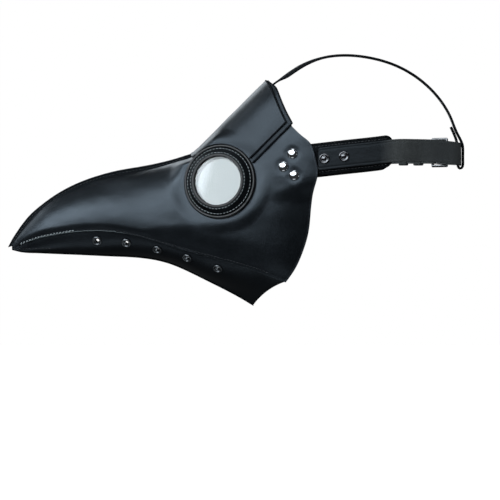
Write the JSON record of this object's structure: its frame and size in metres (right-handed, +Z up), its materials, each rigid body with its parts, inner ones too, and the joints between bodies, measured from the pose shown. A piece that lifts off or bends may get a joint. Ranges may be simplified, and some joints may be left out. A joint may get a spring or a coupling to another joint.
{
  "type": "plague doctor mask",
  "caption": "Long-beaked leather-look costume mask with round eye ports, vented beak, side straps and a top strap.",
  "frame": {"origin": "centre of the face opening, on the median plane at eye height", "axes": "+Y towards the back of the head with the beak along -Y, +X the wearer's left, +Z up"},
  "size_m": [0.1607, 0.4558, 0.2515],
  "materials": {
    "leather": "black PU leather, fine grain, satin",
    "backing_leather": "black PU leather, satin",
    "seam_leather": "black PU leather, stitched edge",
    "tab_leather": "padded black PU leather",
    "strap_leather": "smooth black strap leather",
    "band_leather": "matt black, fine radial grain",
    "bead_vinyl": "glossy dark piping",
    "black_rubber": "matt",
    "moulded_plastic": "matt",
    "clear_lens": "clear, glossy",
    "polished_steel": "polished",
    "black_nickel": "black nickel, glossy",
    "buckle_nickel": "dark nickel, polished"
  },
  "bodies": {
    "mask": {"side_panel_left": "leather", "side_panel_right": "leather", "lower_panel_left": "leather", "lower_panel_right": "leather", "strap_tab_left": "tab_leather", "strap_tab_right": "tab_leather", "cheek_rivets_left": "polished_steel", "cheek_rivets_right": "polished_steel", "strap_snaps_left": "black_nickel", "strap_snaps_right": "black_nickel", "vent_eyelets_left": "black_nickel", "vent_eyelets_right": "black_nickel", "eye_bead_left": "bead_vinyl", "eye_bead_right": "bead_vinyl", "eye_band_left": "band_leather", "eye_band_right": "band_leather", "eye_lip_left": "black_rubber", "eye_lip_right": "black_rubber", "eye_lens_left": "clear_lens", "eye_lens_right": "clear_lens", "eye_socket_left": "moulded_plastic", "eye_socket_right": "moulded_plastic", "eye_retainer_left": "moulded_plastic", "eye_retainer_right": "moulded_plastic", "brow_panel": "leather", "brow_backing": "backing_leather", "ridge_seam": "seam_leather", "keel_seam": "seam_leather", "long_strap": "strap_leather", "short_strap": "strap_leather", "top_strap": "strap_leather", "fixed_keeper": "strap_leather"},
    "frame": {"buckle_frame": "buckle_nickel"},
    "prong": {"buckle_prong": "buckle_nickel"},
    "keeper": {"sliding_keeper": "strap_leather"}
  },
  "joints": [
    {"name": "buckle_tip", "type": "hinge", "parent": "mask", "child": "frame", "pos_m": [-0.0532, 0.14435, 0.02812], "axis": [0, 0, 1], "range_deg": [0, 7]},
    {"name": "prong_lift", "type": "hinge", "parent": "frame", "child": "prong", "pos_m": [-0.0532, 0.14435, 0.02812], "axis": [0, 0, 1], "range_deg": [0, 9]},
    {"name": "keeper_slide", "type": "hinge", "parent": "mask", "child": "keeper", "pos_m": [-0.0125, 0.09182, 0.02857], "axis": [0, 0, 1], "range_deg": [-5.5, 5.5]}
  ]
}
